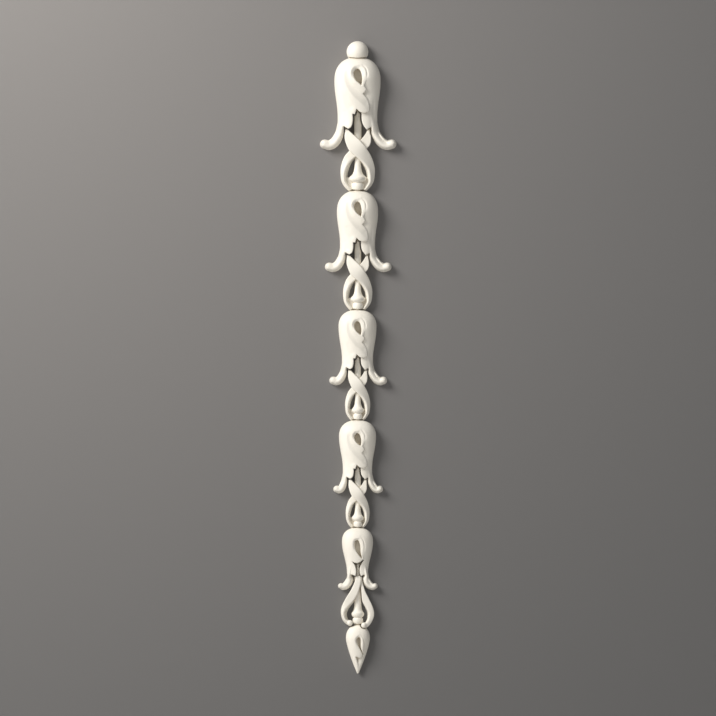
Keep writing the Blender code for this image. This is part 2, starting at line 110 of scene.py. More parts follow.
# Keyhole: its floor as a share of the body's depth, the draft of its wall, the chamfer of its
# rim, which is wider on the right, and the groove along the leaf's edge beside it
EYE_FLOOR = 0.28
EYE_DRAFT = 0.06
BEVEL_DEPTH = 1.9
BEVEL_WIDTH = 2.5
BEVEL_SPREAD = 0.7
BEVEL_SPREAD_RUN = 3.0
BEVEL_END = (0.6, 0.3)
RING_GROOVE = 0.9
RING_GROOVE_WIDTH = 0.8
RING_START = (0.6, 0.3)
RING_END = (0.65, 0.2)

# Contact grooves between flowers and links: half-width, depth, and the depth from the back
# below which they fade
GROOVE = 0.65
GROOVE_DEPTH = 2.2
GROOVE_FLOOR = 2.5
# Finer ones round the top of the last link, and round the ends of its scrolls
LYRE_GROOVE = 0.3
LYRE_TOP = 5.0
LYRE_TOP_SPAN = 12.0
BEAD_GROOVE = 0.45

# Section of a flared petal tip: across, then shares of the depth at the root, in the channel
# and at the knob. The left tips have a shallower channel
FLARE_SECTION = (
    (-1.0, 1.0, 0.45, 0.35), (-0.6, 0.99, 0.9, 0.85), (-0.2, 0.93, 1.0, 1.0), (0.22, 0.83, 0.91, 1.0),
    (0.5, 0.7, 0.78, 0.96), (0.8, 0.5, 0.92, 0.8), (1.0, 0.2, 0.6, 0.35),
)
LEFT_CHANNEL = 0.5
# Path of a tip from its root: shares of the reach and of the drop, width in knobs, share of the
# front, and its form, which runs from 0 at the root through 1 in the channel to 2 at the knob
Tip = namedtuple("Tip", "x z width front form")
FLARE_PATH = (
    Tip(0.08, 0.455, 0.93, 1.0, 0.5),
    Tip(0.356, 0.88, 1.03, 0.92, 1.0),
    Tip(0.69, 1.07, 1.03, 0.87, 1.35),
    Tip(1.0, 1.02, 0.97, 0.87, 2.0),
)
# The same on the fifth flower, but in millimetres from the axis and from the notch, and in width
SMALL_FLARE = (
    Tip(6.0, -9.0, 2.6, 1.2, 0.0),
    Tip(7.7, 0.2, 2.4, 1.15, 0.0),
    Tip(7.5, 3.2, 3.5, 1.05, 0.3),
    Tip(8.1, 5.6, 3.75, 1.0, 0.6),
    Tip(9.4, 7.9, 3.75, 0.95, 0.9),
    Tip(11.3, 9.8, 3.65, 0.9, 1.2),
    Tip(13.9, 10.9, 3.4, 0.87, 1.6),
    Tip(16.1, 10.4, 2.75, 0.87, 2.0),
)
SMALL_FLARE_SHIFT = 0.35
# Section of these tips at the root, which falls away under the petal: across, share of the depth
SMALL_ROOT = ((-1.0, 0.45), (-0.6, 0.72), (-0.2, 0.95), (0.22, 1.0), (0.5, 0.93), (0.8, 0.7), (1.0, 0.3))
# Where the other paths start, inward of the root and above the notch, with the share of the
# root's width there, then the height of the root and how far it stands out from the waist
FLARE_START_X = 1.8
FLARE_START_Z = -10.0
FLARE_START_WIDTH = 0.85
FLARE_ROOT_Z = 0.3
FLARE_PROUD = 0.4
# Height of the knob's middle above the flower's foot, in knobs, and the tips' shift to the
# right, which is whole from this share of the reach onwards
FLARE_DROP = 1.22
FLARE_SHIFT = 0.7
FLARE_SHIFT_WHOLE = 0.5
# Depth of the first flower's tips, the share of it that every flower has, and their rounding
FLARE_FRONT = 10.8
FLARE_FRONT_FIXED = 0.35
FLARE_EDGE = 2.4
FLARE_SEAM = 0.8
# A tip's own part of the block starts this far from the axis and this far above the notch
FLARE_INNER = 2.0
FLARE_ABOVE = 12.0

# Links: half-width of the ribbon loop, radii of the stem's collar, drum and neck
Link = namedtuple("Link", "loop collar drum neck")
LINKS = (
    Link(16.6, 8.0, 5.9, 2.9),
    Link(14.1, 6.7, 4.9, 2.7),
    Link(12.1, 5.7, 4.3, 2.5),
    Link(11.5, 5.5, 4.0, 2.45),
)
LINK_LENGTH = 61.1
# The last link, which hangs from the fifth flower's notch
LYRE = Link(15.9, 6.0, 5.0, 3.3)
LYRE_Z = BELLS[-1].top - BELLS[-1].notch

# Ribbons: rounding, outward lean and where along them it sets in, width, drop and largest share
# of the lip at the hole, and the share of the width that follows the hole's sloping wall
RIBBON_EDGE = 0.45
RIBBON_TILT = 0.42
RIBBON_LEAN = (0.35, 0.25)
RIBBON_LIP = 1.7
LIP_DROP = 0.3
LIP_LIMIT = 0.4
HOLE_SIDE = 0.6
# Room below a ribbon in the block, and a width so small that it only keeps a ratio finite
RIBBON_BELOW = 5.0
NO_WIDTH = 0.001

# Floor of a loop beside the drum, on the first link: right half of its outline, and its front
WEB = ((12.0, 48.6), (12.6, 52.0), (9.0, 58.0), (5.0, 61.5))
WEB_FRONT = 5.0

# Stems: radius of the rod, shift to the right, depths of the axis, and stretch behind the axis
STEM_RADIUS = 3.4
STEM_SHIFT = 0.3
STEM_DEPTH = 4.8
LYRE_STEM_DEPTH = 2.8
STEM_BACK_STRETCH = 1.4
# Profile of a stem, with heights in shares of the link's length: ends of the stem, length of the
# plain rod, the collar's swell over the neck, and the drum's radius
STEM_START = -0.29
STEM_END = 1.09
STEM_ROD = 0.5
STEM_SWELL = ((0.0, 0.5), (0.06, 0.62), (0.2, 0.70), (0.5, 0.753), (0.92, 0.785), (1.0, 0.81),
              (0.9, 0.838), (0.45, 0.866))
STEM_DRUM = ((0.74, 0.878), (0.94, 0.893), (1.0, 0.93), (0.92, 0.972), (0.74, 1.0), (0.7, STEM_END))
# Heights of the profile, and where the last link has them
STEM_MARKS = (0.5, 0.81, 0.866, 0.94, STEM_END)
LYRE_MARKS = (0.5, 0.774, 0.842, 0.91, STEM_END)

# Pointed bud at the foot, which has no waist, notches or petal tips
BUD = Bell(top=-273.6, body=11.4, shoulder=13.0, waist=0.0, waist_z=0.0, eye_top=11.2, eye_end=28.9,
           lobe_end=31.0, notch=40.0, notch_x=0.0, length=46.4, span=0.0, knob=0.0)
BUD_SHIFT = 0.4
# Power of its taper, and how far past the rounded end its point would be
BUD_TAPER = 1.32
BUD_POINT = 1.2
# Step of its right petal: start and run, gain on a flower's step, and its end with the fade
# that leads to it, in shares of the length
BUD_STEP = (0.3, 0.5)
BUD_STEP_GAIN = 1.5
BUD_STEP_END = 0.92
BUD_STEP_FADE = 0.35
# Depth below the leaf of a core that closes the gap between leaf and petal
BUD_CORE_DROP = 3.0

# Outlines are strokes, each a straight run that keeps its corners or a smooth curve
STRAIGHT = "straight"
CURVE = "curve"
CURVE_STEPS = 6

# Outlines of the first flower, x to the right; the others are fitted from them
LEAF = (
    (STRAIGHT, (4.0, -6.0), (-OVERRUN, -6.0), (-OVERRUN, 65.6), (-12.5, 65.6)),
    (CURVE, (-12.5, 65.6), (-10.8, 66.9), (-8.5, 68.1)),
    (CURVE, (-8.5, 68.1), (-5.7, 65.6), (-4.4, 59.5), (-4.7, 53.8)),
    (STRAIGHT, (-4.7, 53.8), (-2.4, 54.3)),
    (CURVE, (-2.4, 54.3), (-1.6, 51.5), (-0.9, 49.0)),
    (CURVE, (-0.9, 49.0), (3.3, 52.5), (8.1, 52.8), (11.4, 51.2)),
    (CURVE, (11.4, 51.2), (11.2, 46.2), (9.5, 40.0), (5.2, 34.8)),
    (CURVE, (5.2, 34.8), (7.2, 33.0), (8.5, 30.7)),
    (STRAIGHT, (8.5, 30.7), (6.3, 27.2)),
    (CURVE, (6.3, 27.2), (8.0, 23.0), (9.2, 17.5), (8.2, 11.5), (4.6, 7.6)),
    (STRAIGHT, (4.6, 7.6), (4.0, -6.0)),
)
RIGHT_PETAL = (
    (STRAIGHT, (-9.0, -6.0), (OVERRUN, -6.0), (OVERRUN, 66.1), (13.1, 66.1)),
    (CURVE, (13.1, 66.1), (11.2, 67.2), (8.8, 68.9)),
    (CURVE, (8.8, 68.9), (5.2, 63.7), (3.9, 57.6), (4.1, 48.0)),
    (STRAIGHT, (4.1, 48.0), (4.1, 45.0), (-9.0, 45.0), (-9.0, -6.0)),
)
EYE = (
    (CURVE, (3.9, 27.2), (-2.1, 21.8), (-4.1, 15.8), (-2.6, 11.9), (0.0, 10.6), (2.9, 12.6),
     (4.6, 18.0), (4.9, 22.4), (3.9, 27.2)),
)

# Outlines of the fifth flower, which has one lobe
SMALL_LEAF = (
    (STRAIGHT, (3.0, -6.0), (-OVERRUN, -6.0), (-OVERRUN, 44.2), (-5.5, 44.2)),
    (CURVE, (-5.5, 44.2), (-3.9, 44.9), (-1.8, 45.9)),
    (CURVE, (-1.8, 45.9), (-1.2, 42.6), (-1.4, 39.0), (-2.8, 35.2), (-5.4, 31.8)),
    (CURVE, (-5.4, 31.8), (-2.6, 33.3), (0.5, 33.4), (3.3, 31.9), (6.3, 29.4)),
    (STRAIGHT, (6.3, 29.4), (5.4, 28.6)),
    (CURVE, (5.4, 28.6), (6.2, 24.0), (6.6, 17.0), (5.4, 11.5), (3.0, 8.5)),
    (STRAIGHT, (3.0, 8.5), (3.0, -6.0)),
)
SMALL_PETAL = (
    (STRAIGHT, (-7.0, -6.0), (OVERRUN, -6.0), (OVERRUN, 44.6), (6.0, 44.6)),
    (STRAIGHT, (6.0, 44.6), (3.2, 46.2)),
    (CURVE, (3.2, 46.2), (1.9, 42.0), (2.7, 36.4), (5.9, 30.8)),
    (STRAIGHT, (5.9, 30.8), (4.6, 26.0), (-7.0, 26.0), (-7.0, -6.0)),
)
SMALL_EYE = (
    (CURVE, (5.0, 30.6), (1.2, 26.4), (-1.6, 22.0), (-3.0, 16.5), (-2.4, 13.0), (-0.7, 11.6),
     (1.4, 12.6), (2.9, 17.4), (3.4, 23.6), (5.0, 30.6)),
)

# Outlines of the bud
BUD_LEAF = (
    (STRAIGHT, (2.0, -6.0), (-OVERRUN, -6.0), (-OVERRUN, 60.0), (0.4, 60.0), (0.4, 44.0)),
    (CURVE, (0.4, 44.0), (0.4, 41.0), (0.2, 37.1), (-0.8, 34.0), (-2.2, 29.8)),
    (CURVE, (-2.2, 29.8), (-0.2, 30.4), (1.9, 31.3), (3.6, 30.6)),
    (CURVE, (3.6, 30.6), (4.5, 29.0), (5.6, 25.0), (5.8, 18.0), (4.6, 11.6), (2.0, 8.0)),
    (STRAIGHT, (2.0, 8.0), (2.0, -6.0)),
)
BUD_EYE = (
    (CURVE, (4.0, 31.2), (4.1, 28.6), (3.4, 26.0), (1.2, 21.8), (-0.5, 18.4), (-1.6, 14.7), (-0.9, 12.2),
     (0.7, 11.2), (2.5, 12.4), (2.9, 15.6), (3.0, 21.0), (4.4, 25.0), (5.3, 28.4), (4.0, 31.2)),
)

# Relief on the petals of the first flower fades in and out over these shares of its lines
CREASE_FADES = (0.12, 0.2)
GROOVE_FADES = (0.3, 0.35)
# Creases: a ridge line, the depth of the dip on its right, and how far the dip falls and rises
# again, each at the start and at the end of the line
Crease = namedtuple("Crease", "line depth fall rise")
LEFT_CREASES = (
    Crease(((-12.4, 8.0), (-12.5, 16.0), (-12.3, 21.6), (-10.2, 28.3), (-6.4, 34.0), (-1.6, 39.6),
            (3.2, 43.8), (7.5, 48.0), (12.5, 54.0)), (0.7, 2.2), (2.8, 7.0), (3.0, 11.0)),
    Crease(((-14.4, 36.0), (-13.2, 42.0), (-10.9, 47.8), (-6.9, 52.6)), (0.3, 0.7), (2.5, 3.5), (3.5, 5.0)),
    Crease(((-15.0, 50.0), (-13.9, 58.0), (-12.8, 64.8)), (0.3, 0.7), (2.0, 2.5), (3.0, 3.5)),
)
# Grooves: a line, the depth and the width to either side
Groove = namedtuple("Groove", "line depth width")
RIGHT_GROOVES = (
    Groove(((15.8, 34.0), (15.3, 48.0), (15.2, 59.5), (16.6, 67.0), (18.4, 71.0)), 1.1, 2.0),
)

# Ribbons of the first link: outer edge, hole edge, front depth and spread of the hole's wall
Node = namedtuple("Node", "outer inner front wall")
OVER_RIBBON = (
    Node((-11.5, -5.0), (-14.0, -5.0), 9.5, 0.0),
    Node((-9.7, 1.8), (-12.0, 3.6), 10.5, 0.0),
    Node((-4.3, 7.6), (-12.0, 12.5), 12.5, 0.0),
    Node((2.4, 13.7), (-8.2, 22.3), 14.0, 0.0),
    Node((8.2, 20.6), (-2.0, 28.0), 13.6, 0.6),
    Node((13.4, 29.4), (4.4, 33.9), 11.8, 1.4),
    Node((16.4, 40.0), (9.6, 41.5), 10.0, 2.0),
    Node((15.9, 50.2), (10.9, 50.5), 9.0, 2.2),
    Node((13.6, 55.8), (9.8, 55.0), 8.2, 2.2),
    Node((9.8, 60.2), (7.4, 58.6), 7.5, 2.2),
    Node((6.5, 62.8), (4.6, 61.2), 6.0, 2.0),
)
UNDER_RIBBON = (
    Node((9.5, -5.0), (13.0, -5.0), 8.0, 0.0),
    Node((8.9, 4.5), (12.6, 5.6), 8.8, 0.0),
    Node((2.6, 13.5), (11.5, 18.2), 10.3, 0.0),
    Node((-7.6, 23.2), (-1.5, 28.3), 10.6, 1.2),
    Node((-12.8, 29.6), (-7.6, 34.2), 10.0, 2.2),
    Node((-15.9, 39.5), (-11.6, 43.2), 9.4, 2.8),
    Node((-15.7, 49.5), (-12.0, 50.8), 8.8, 2.9),
    Node((-13.8, 55.3), (-10.2, 54.6), 8.2, 2.9),
    Node((-10.4, 59.6), (-7.6, 57.8), 7.4, 2.7),
    Node((-6.5, 62.8), (-4.5, 61.2), 6.0, 2.0),
)

# Ribbons of the last link, which part like a lyre and end in small scrolls
LYRE_LEFT = (
    Node((-1.8, 0.7), (3.1, 0.7), 8.4, 0.0),
    Node((-2.2, 5.2), (3.2, 5.6), 9.2, 0.0),
    Node((-6.1, 14.0), (0.8, 15.8), 9.4, 0.4),
    Node((-11.2, 22.2), (-4.0, 24.0), 9.0, 1.6),
    Node((-15.1, 30.3), (-10.2, 30.9), 8.6, 2.4),
    Node((-15.7, 36.5), (-12.6, 36.3), 8.2, 2.8),
    Node((-13.8, 43.1), (-11.6, 41.5), 8.0, 2.4),
    Node((-9.6, 47.2), (-8.6, 43.4), 7.8, 0.8),
    Node((-6.4, 46.8), (-6.0, 43.1), 7.4, 0.2),
    Node((-4.9, 46.0), (-4.8, 44.2), 6.2, 0.0),
)
LYRE_RIGHT = (
    Node((4.4, 0.0), (1.6, 0.0), 5.6, 0.0),
    Node((4.6, 5.2), (2.0, 5.2), 6.4, 0.0),
    Node((6.8, 14.0), (3.6, 14.2), 8.2, 0.0),
    Node((10.5, 21.8), (4.8, 24.2), 8.2, 0.6),
    Node((14.2, 29.6), (8.2, 30.6), 8.2, 1.0),
    Node((15.8, 36.5), (10.7, 36.2), 8.2, 1.4),
    Node((14.2, 43.1), (10.0, 41.4), 8.6, 1.2),
    Node((10.0, 48.9), (8.0, 44.8), 9.4, 0.4),
    Node((5.8, 50.0), (5.8, 45.5), 9.4, 0.0),
    Node((4.2, 48.8), (4.2, 46.8), 8.0, 0.0),
)
LYRE_RIGHT_TILT = 0.12
# Ends of the scrolls, across and down from the notch
Scroll = namedtuple("Scroll", "x z radius front")
SCROLLS = (Scroll(-7.2, 45.4, 2.7, 9.2), Scroll(6.1, 47.5, 2.6, 11.4))


# Lines and easing

def smooth(points, steps):
    """Points of a Catmull-Rom curve through the given points, ends included."""
    first = tuple(2 * a - b for a, b in zip(points[0], points[1]))
    last = tuple(2 * a - b for a, b in zip(points[-1], points[-2]))
    guide = [first, *points, last]
    curve = []
    for i in range(len(points) - 1):
        for k in range(steps):
            t = k / steps
            curve.append(tuple(
                b + 0.5 * t * (c - a + t * (2 * a - 5 * b + 4 * c - d + t * (3 * (b - c) + d - a)))
                for a, b, c, d in zip(*guide[i:i + 4])))
    curve.append(tuple(points[-1]))
    return curve


def outline(strokes):
    """The points of a closed outline."""
    points = []
    for kind, *stroke in strokes:
        run = smooth(stroke, CURVE_STEPS) if kind == CURVE else stroke
        points += run[:-1]
    return points


def ease(value):
    """Run gently from 0 to 1 while the value does."""
    value = np.clip(value, 0.0, 1.0)
    return value * value * (3 - 2 * value)


def eased(value, fade):
    """Run gently from 0 to 1 from the start of a fade to its end."""
    start, run = fade
    return ease((value - start) / run)


def faded_ends(share, fades):
    """Run from 0 to 1 over the first share of a line and back over the last one."""
    first, last = fades
    return ease(share / first) * ease((1 - share) / last)


def half_scaled(ratio):
    """Scale of a depth, which shrinks half as much as the width does."""
    return 0.5 + 0.5 * ratio


def stations(bell):
    """Heights that two flowers share, measured down from the top."""
    return (0.0, bell.eye_top, bell.eye_end, bell.lobe_end, bell.notch, bell.length)


def fitted(points, bell, model):
    """Carry points from the model flower to another, heights still measured down from its top."""
    source = stations(model)
    target = stations(bell)
    result = []
    for x, z in points:
        k = max(i for i in range(len(source) - 1) if i == 0 or z >= source[i])
        slope = (target[k + 1] - target[k]) / (source[k + 1] - source[k])
        result.append((x * bell.body / model.body, target[k] + (z - source[k]) * slope))
    return result


# Distances

def blend_max(a, b, radius):
    """The larger of two distances, with edges rounded over the radius."""
    share = np.clip(0.5 + 0.5 * (a - b) / radius, 0.0, 1.0)
    return b + (a - b) * share + radius * share * (1 - share)


def blend_min(a, b, radius):
    """The smaller of two distances, with a fillet of the radius in the corner."""
    return -blend_max(-a, -b, radius)


def outline_distance(points, x, z):
    """Distance in the front plane to a closed outline, negative inside."""
    nearest = np.full(np.broadcast(x, z).shape, 1e6, np.float32)
    inside = np.zeros(nearest.shape, bool)
    for (ax, az), (bx, bz) in zip(points, [*points[1:], points[0]]):
        ex = bx - ax
        ez = bz - az
        share = np.clip(((x - ax) * ex + (z - az) * ez) / (ex * ex + ez * ez), 0.0, 1.0)
        nearest = np.minimum(nearest, (x - ax - share * ex) ** 2 + (z - az - share * ez) ** 2)
        if az != bz:
            inside ^= ((az > z) != (bz > z)) & (x < ax + (z - az) * ex / ez)
    return np.where(inside, -1.0, 1.0) * np.sqrt(nearest)


def path_place(path, x, z):
    """Nearest place along an open path, counted in points, and the distance from the path.

    The distance is positive on the right of a path that runs down, and negative on its left.
    """
    nearest = np.full(np.broadcast(x, z).shape, 1e6, np.float32)
    place = np.zeros(nearest.shape, np.float32)
    side = np.zeros(nearest.shape, np.float32)
    for i, (a, b) in enumerate(zip(path, path[1:])):
        ax, az = a[:2]
        ex = b[0] - ax
        ez = b[1] - az
        share = np.clip(((x - ax) * ex + (z - az) * ez) / (ex * ex + ez * ez), 0.0, 1.0)
        square = (x - ax - share * ex) ** 2 + (z - az - share * ez) ** 2
        closer = square < nearest
        nearest = np.where(closer, square, nearest)
        place = np.where(closer, i + share, place)
        side = np.where(closer, np.sign(ez * (x - ax) - ex * (z - az)), side)
    return place, side * np.sqrt(nearest)


def along(values, place):
    """Values given at a path's points, read at places along it."""
    return np.interp(place, np.arange(len(values)), values)


def window(x_low, x_high, z_low, z_high):
    """A part of the block, with its coordinates ready to be combined."""
    xs = slice(np.searchsorted(X_AXIS, x_low), np.searchsorted(X_AXIS, x_high))
    zs = slice(np.searchsorted(Z_AXIS, z_low), np.searchsorted(Z_AXIS, z_high))
    region = (xs, slice(None), zs)
    return region, X_AXIS[xs, None, None], T_AXIS[None, :, None], Z_AXIS[None, None, zs]


def add(block, region, distance, fillet):
    """Join a form to the block."""
    block[region] = blend_min(block[region], distance, fillet)


def carve(block, region, distance):
    """Cut a form out of the block."""
    block[region] = blend_max(block[region], -distance, SEAM)


# Flowers

def bell_body(bell, rho, z):
    """Distance to the turned bell, whose cap is a superellipse and whose wall is waisted."""
    rise = np.maximum((bell.shoulder - z) / bell.shoulder, 0.0)
    spread = rho / bell.body
    cap = bell.body * ((spread ** SHOULDER_POWER + rise ** SHOULDER_POWER) ** (1 / SHOULDER_POWER) - 1)
    turn = np.clip((z - bell.shoulder) / (bell.waist_z - bell.shoulder), 0.0, 1.0)
    wall = rho - bell.waist - (bell.body - bell.waist) * 0.5 * (1 + np.cos(math.pi * turn))
    return np.where(z < bell.shoulder, cap, wall)


def bud_body(bell, rho, z):
    """Distance to the bud, which tapers from its shoulder to a point."""
    run = bell.length + BUD_POINT - bell.shoulder
    fall = np.maximum((z - bell.shoulder) / run, 0.0)
    slope = BUD_TAPER * bell.body / run * fall ** (BUD_TAPER - 1)
    wall = (rho - bell.body * (1 - fall ** BUD_TAPER)) / np.sqrt(1 + slope ** 2)
    return np.where(z < bell.shoulder, bell_body(bell, rho, z), wall)


def petal_step(bell, z):
    """How far the right petal sinks under the leaf at each height."""
    if bell is BUD:
        fade = BUD_STEP_GAIN * eased(z / bell.eye_end, BUD_STEP)
        fade = fade * (1 - ease((z / bell.length - BUD_STEP_END) / BUD_STEP_FADE + 1))
    else:
        fade = eased(z / bell.eye_end, PETAL_STEP)
    return SEAM_STEP + RIGHT_PETAL_STEP * bell.body / BELLS[0].body * fade


def blank(bell, x, t, z, shift):
    """Distance to the plain body, narrowed and moved to the right by the shift."""
    rho = (np.abs(x - shift) ** SECTION_POWER
           + np.abs((t - AXIS_DEPTH) / DEPTH_RATIO) ** SECTION_POWER) ** (1 / SECTION_POWER)
    body = bud_body if bell is BUD else bell_body
    return body(bell, rho + shift, z)


def creased(bell, model, x, z):
    """Depth taken off the left petal on the right of its ridge lines."""
    scale = bell.body / BELLS[0].body
    total = 0.0
    for crease in LEFT_CREASES:
        path = fitted(smooth(crease.line, CURVE_STEPS), bell, model)
        place, side = path_place(path, x, z)
        share = place / (len(path) - 1)
        depth, fall, rise = (scale * (low + (high - low) * share) for low, high in crease[1:])
        dip = np.sin(0.5 * math.pi * np.clip(side / fall, 0.0, 1.0))
        total = total + depth * faded_ends(share, CREASE_FADES) * dip * (1 - ease((side - fall) / rise))
    return total


def grooved(bell, model, x, z):
    """Depth taken off the right petal by its grooves."""
    scale = bell.body / BELLS[0].body
    total = 0.0
    for groove in RIGHT_GROOVES:
        path = fitted(smooth(groove.line, CURVE_STEPS), bell, model)
        place, side = path_place(path, x, z)
        fade = faded_ends(place / (len(path) - 1), GROOVE_FADES)
        total = total + groove.depth * scale * fade * np.exp(-np.abs(side) / (groove.width * scale))
    return total


def eye_ring(bell, eye_edge, leaf_edge, x, z):
    """Depth taken off round the keyhole by its chamfer and by the groove along the leaf."""
    scale = bell.body / BELLS[0].body
    width = BEVEL_WIDTH * scale * (1 + BEVEL_SPREAD * ease(x / (BEVEL_SPREAD_RUN * scale)))
    bevel = BEVEL_DEPTH * scale * np.clip(1 - eye_edge / width, 0.0, 1.0)
    bevel = bevel * (1 - eased(z / bell.eye_end, BEVEL_END))
    groove = RING_GROOVE * scale * np.exp(-(leaf_edge / (RING_GROOVE_WIDTH * scale)) ** 2)
    groove = groove * (1 - eased(z / bell.eye_end, RING_END)) * eased(z / bell.eye_top, RING_START)
    return bevel + groove


def flower(block, bell, model, outlines, end):
    """A flower or the bud: a leaf over a right petal, with the keyhole where they part."""
    leaf, petal, eye = outlines
    reach = bell.body + MARGIN
    region, x, t, height = window(-reach, reach, bell.top - end - WIDE_MARGIN, bell.top + MARGIN)
    if bell is BUD:
        x = x - BUD_SHIFT
    z = bell.top - height
    eye_edge = outline_distance(fitted(outline(eye), bell, model), x, z)
    leaf_edge = outline_distance(fitted(outline(leaf), bell, model), x, z)
    left_face = t + eye_ring(bell, eye_edge, leaf_edge, x, z)
    right_face = left_face
    if model is BELLS[0]:
        left_face = left_face + creased(bell, model, x, z)
        right_face = right_face + grooved(bell, model, x, z)
    left = blend_max(blank(bell, x, left_face, z, 0.0), leaf_edge, EDGE)
    right = blank(bell, x, right_face, z, petal_step(bell, z))
    right = np.maximum(right, -EDGE - leaf_edge)
    if petal:
        right = blend_max(right, outline_distance(fitted(outline(petal), bell, model), x, z), PETAL_EDGE)
    else:
        right = blend_min(right, blank(bell, x, t + BUD_CORE_DROP, z, 0.0), SEAM)
    whole = blend_min(left, right, SEAM)
    front = AXIS_DEPTH + DEPTH_RATIO * bell.body
    floor = AXIS_DEPTH + EYE_FLOOR * DEPTH_RATIO * bell.body
    hole = np.maximum(eye_edge + EYE_DRAFT * (front - t), floor - t)
    whole = blend_max(whole, -hole, EDGE * bell.body / BELLS[0].body)
    add(block, region, blend_max(whole, z - end, END_EDGE), SEAM)


def tip_nodes(bell, side):
    """Path of a petal tip, across from the axis and down from the notch."""
    ratio = bell.body / BELLS[0].body
    sunk = RIGHT_PETAL_STEP * ratio if side > 0 else 0.0
    root_half = math.sqrt((bell.waist - sunk) ** 2 - (bell.notch_x - sunk) ** 2)
    root_front = AXIS_DEPTH + DEPTH_RATIO * root_half
    tip_front = FLARE_FRONT * (FLARE_FRONT_FIXED + (1 - FLARE_FRONT_FIXED) * ratio)
    if bell is BELLS[-1]:
        return [Tip(tip.x + side * SMALL_FLARE_SHIFT, tip.z, tip.width,
                    min(tip.front * tip_front, root_front), tip.form) for tip in SMALL_FLARE]
    root_width = 0.5 * (bell.waist - bell.notch_x) + FLARE_PROUD
    root = bell.notch_x + root_width
    reach = bell.span - bell.knob - root
    drop = bell.length - FLARE_DROP * bell.knob - bell.notch
    nodes = [Tip(root - FLARE_START_X, FLARE_START_Z, FLARE_START_WIDTH * root_width, root_front, 0.0),
             Tip(root, FLARE_ROOT_Z, root_width, root_front, 0.0)]
    for tip in FLARE_PATH:
        shift = side * FLARE_SHIFT * min(1.0, tip.x / FLARE_SHIFT_WHOLE)
        nodes.append(Tip(root + tip.x * reach + shift, tip.z * drop, tip.width * bell.knob,
                         tip.front * tip_front, tip.form))
    return nodes


def flare(block, bell, side):
    """A petal tip that sweeps out from the notch and curls up into a knob."""
    ratio = bell.body / BELLS[0].body
    path = [Tip(*point) for point in smooth(tip_nodes(bell, side), CURVE_STEPS)]
    outer = bell.span + WIDE_MARGIN
    low, high = (-outer, -FLARE_INNER) if side < 0 else (FLARE_INNER, outer)
    region, x, t, height = window(low, high, bell.top - bell.length - WIDE_MARGIN,
                                  bell.top - bell.notch + FLARE_ABOVE)
    place, across = path_place(path, side * x, bell.top - bell.notch - height)
    width = along([tip.width for tip in path], place)
    form = along([tip.form for tip in path], place)
    u = np.clip(across / width, -1.0, 1.0)
    marks, *columns = zip(*smooth(FLARE_SECTION, CURVE_STEPS))
    root, channel, knob = (np.interp(u, marks, column) for column in columns)
    if bell is BELLS[-1]:
        root = np.interp(u, *zip(*SMALL_ROOT))
    if side < 0:
        channel = knob + (channel - knob) * LEFT_CHANNEL
    share = root + (channel - root) * ease(form) + (knob - channel) * ease(form - 1)
    front = along([tip.front for tip in path], place) * share
    petal = blend_max(t - front, np.abs(across) - width, FLARE_EDGE * ratio)
    add(block, region, petal, FLARE_SEAM * ratio)


# Links

Row = namedtuple("Row", "outer_x outer_z inner_x inner_z front wall")


def ribbon_rows(nodes, width_ratio, length_ratio, depth_ratio):
    """A ribbon's nodes as a smooth run of rows, fitted to a link."""
    rows = smooth([(*node.outer, *node.inner, node.front, node.wall) for node in nodes], CURVE_STEPS)
    ratios = (width_ratio, length_ratio, width_ratio, length_ratio, depth_ratio, width_ratio)
    return [Row(*(value * ratio for value, ratio in zip(row, ratios))) for row in rows]


def ribbon(block, nodes, top, ratios=(1.0, 1.0, 1.0), tilted=RIBBON_TILT):
    """A band between two edges that leans outward, with a sloping wall at the hole."""
    rows = ribbon_rows(nodes, *ratios)
    outer = [(row.outer_x, row.outer_z) for row in rows]
    inner = [(row.inner_x, row.inner_z) for row in rows]
    middle = [(0.5 * (ox + ix), 0.5 * (oz + iz)) for (ox, oz), (ix, iz) in zip(outer, inner)]
    widths = [math.hypot(ox - ix, oz - iz) for (ox, oz), (ix, iz) in zip(outer, inner)]
    spread = max(abs(x) for x, z in outer) + MARGIN
    region, x, t, height = window(-spread, spread, top - rows[-1].outer_z - RIBBON_BELOW,
                                  top - rows[0].outer_z + MARGIN)
    z = top - height
    edge = outline_distance(outer + inner[::-1], x, z)
    place = path_place(middle, x, z)[0]
    from_outer = np.abs(path_place(outer, x, z)[1])
    from_inner = np.abs(path_place(inner, x, z)[1])
    width = from_outer + from_inner + NO_WIDTH
    share = from_outer / width
    front = along([row.front for row in rows], place)
    peak = 1 - np.minimum(RIBBON_LIP / width, LIP_LIMIT)
    lean = eased(place / (len(rows) - 1), RIBBON_LEAN)
    tilt = tilted * front * lean * np.maximum(1 - share / peak, 0.0)
    lip = LIP_DROP * lean * np.maximum((share - peak) / (1 - peak), 0.0) ** 2
    face = front - tilt - lip
    holeward = ease((from_outer - from_inner) / (HOLE_SIDE * along(widths, place)) + 0.5)
    wall = along([row.wall for row in rows], place)
    slope = wall * np.clip(1 - t / front, 0.0, 1.0) * holeward
    add(block, region, blend_max(t - face, edge - slope, RIBBON_EDGE), 0.5 * SEAM)


